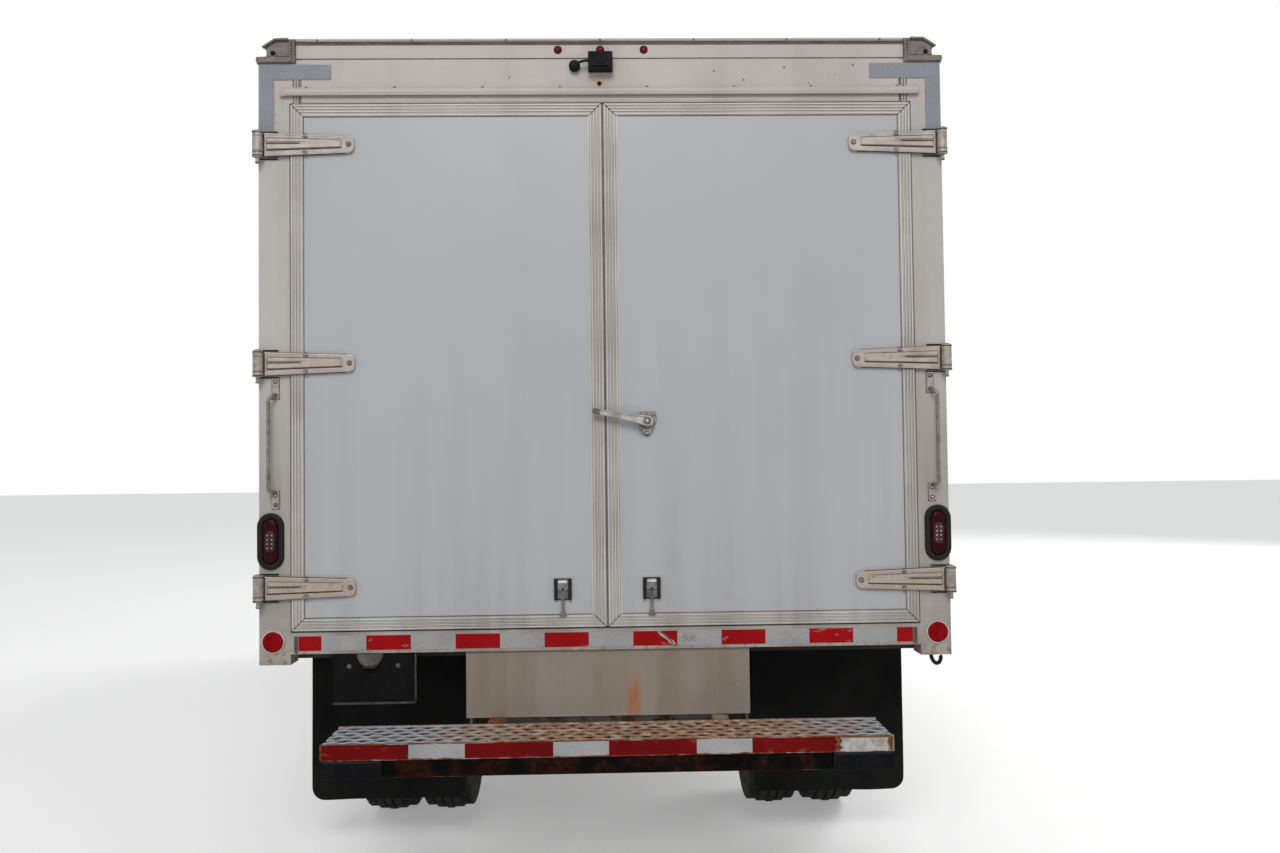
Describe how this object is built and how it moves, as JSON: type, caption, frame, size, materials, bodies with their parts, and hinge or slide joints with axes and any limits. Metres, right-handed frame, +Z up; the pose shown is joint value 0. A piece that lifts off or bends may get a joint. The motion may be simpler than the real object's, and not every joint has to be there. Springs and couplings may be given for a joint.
{
  "type": "box truck",
  "caption": "Low-cab-forward truck with a dry-freight box body, two swinging rear doors, a step bumper, twin rear wheels and a tilting cab.",
  "frame": {"origin": "on the ground, midway along the truck and on its centre line", "axes": "+X to the truck's right, +Y forward, +Z up"},
  "size_m": [2.58, 6.477, 3.0429],
  "materials": {
    "body_white": "satin, weathered",
    "door_skin": "satin, weathered",
    "cab_paint": "gloss",
    "chassis_black": "satin",
    "galvanised": "weathered",
    "cast_steel": "rough",
    "aluminium": "weathered",
    "wheel_paint": "gloss",
    "tyre": "matt",
    "rubber": "matt",
    "lamp_red": "gloss",
    "lamp_clear": "gloss",
    "glass": "clear",
    "plastic_black": "matt",
    "trim_grey": "matt",
    "seat_cloth": "woven",
    "wood_floor": "worn"
  },
  "bodies": {
    "chassis": {"frame_rails": "chassis_black", "frame_crossmembers": "chassis_black", "leaf_springs": "chassis_black", "front_axle": "chassis_black", "rear_axle": "cast_steel", "engine": "cast_steel", "drive_shaft": "cast_steel", "exhaust": "galvanised", "fuel_tank": "chassis_black", "battery_box": "plastic_black", "front_bumper": "cab_paint", "floor_crossmembers": "galvanised", "box_floor": "wood_floor", "box_side_walls": "body_white", "box_front_wall": "body_white", "box_roof": "body_white", "rear_posts": "body_white", "rear_header": "body_white", "rear_sill": "body_white", "corner_caps": "aluminium", "tail_lamps": "lamp_red", "hinge_butts": "galvanised", "grab_handles": "galvanised", "plate_bracket": "plastic_black", "rear_apron": "galvanised", "step_bumper": "galvanised", "step_tread": "galvanised", "dock_bumpers": "rubber", "mud_flaps": "rubber"},
    "cab": {"cab_shell": "cab_paint", "cab_front_panel": "cab_paint", "cab_glass": "glass", "headlamps": "lamp_clear", "dashboard": "trim_grey", "seats": "seat_cloth", "steering_wheel": "plastic_black", "mirrors": "plastic_black"},
    "cab_door_left": {"cab_door_left": "cab_paint", "door_glass_left": "glass"},
    "cab_door_right": {"cab_door_right": "cab_paint", "door_glass_right": "glass"},
    "rear_door_left": {"rear_door_left": "door_skin", "hinge_straps_left": "galvanised"},
    "rear_door_right": {"rear_door_right": "door_skin", "hinge_straps_right": "galvanised", "door_latch": "galvanised"},
    "knuckle_left": {"knuckle_left": "cast_steel"},
    "knuckle_right": {"knuckle_right": "cast_steel"},
    "front_wheel_left": {"tyre_front_left": "tyre", "wheel_front_left": "wheel_paint"},
    "front_wheel_right": {"tyre_front_right": "tyre", "wheel_front_right": "wheel_paint"},
    "rear_wheels_left": {"tyres_rear_left": "tyre", "wheels_rear_left": "wheel_paint"},
    "rear_wheels_right": {"tyres_rear_right": "tyre", "wheels_rear_right": "wheel_paint"}
  },
  "joints": [
    {"name": "rear_wheels_spin_left", "type": "hinge", "parent": "chassis", "child": "rear_wheels_left", "pos_m": [-0.825, -1.7215, 0.385], "axis": [1, 0, 0], "continuous": true},
    {"name": "steer_left", "type": "hinge", "parent": "chassis", "child": "knuckle_left", "pos_m": [-0.72, 2.0885, 0.385], "axis": [0, 0, 1], "range_deg": [-38, 38]},
    {"name": "front_wheel_spin_left", "type": "hinge", "parent": "knuckle_left", "child": "front_wheel_left", "pos_m": [-0.832, 2.0885, 0.385], "axis": [1, 0, 0], "continuous": true},
    {"name": "rear_door_swing_left", "type": "hinge", "parent": "chassis", "child": "rear_door_left", "pos_m": [-1.215, -2.8965, 1.886], "axis": [0, 0, -1], "range_deg": [0, 255]},
    {"name": "cab_door_swing_left", "type": "hinge", "parent": "cab", "child": "cab_door_left", "pos_m": [-1.01, 2.96, 1.2], "axis": [0, 0, -1], "range_deg": [0, 75]},
    {"name": "rear_wheels_spin_right", "type": "hinge", "parent": "chassis", "child": "rear_wheels_right", "pos_m": [0.825, -1.7215, 0.385], "axis": [1, 0, 0], "continuous": true},
    {"name": "steer_right", "type": "hinge", "parent": "chassis", "child": "knuckle_right", "pos_m": [0.72, 2.0885, 0.385], "axis": [0, 0, 1], "range_deg": [-38, 38]},
    {"name": "front_wheel_spin_right", "type": "hinge", "parent": "knuckle_right", "child": "front_wheel_right", "pos_m": [0.832, 2.0885, 0.385], "axis": [1, 0, 0], "continuous": true},
    {"name": "rear_door_swing_right", "type": "hinge", "parent": "chassis", "child": "rear_door_right", "pos_m": [1.215, -2.8965, 1.886], "axis": [0, 0, 1], "range_deg": [0, 255]},
    {"name": "cab_door_swing_right", "type": "hinge", "parent": "cab", "child": "cab_door_right", "pos_m": [1.01, 2.96, 1.2], "axis": [0, 0, 1], "range_deg": [0, 75]},
    {"name": "cab_tilt", "type": "hinge", "parent": "chassis", "child": "cab", "pos_m": [0, 3.1, 0.76], "axis": [-1, 0, 0], "range_deg": [0, 45]}
  ],
  "couplings": [
    {"joint": "steer_right", "follows": "steer_left", "ratio": 1}
  ]
}
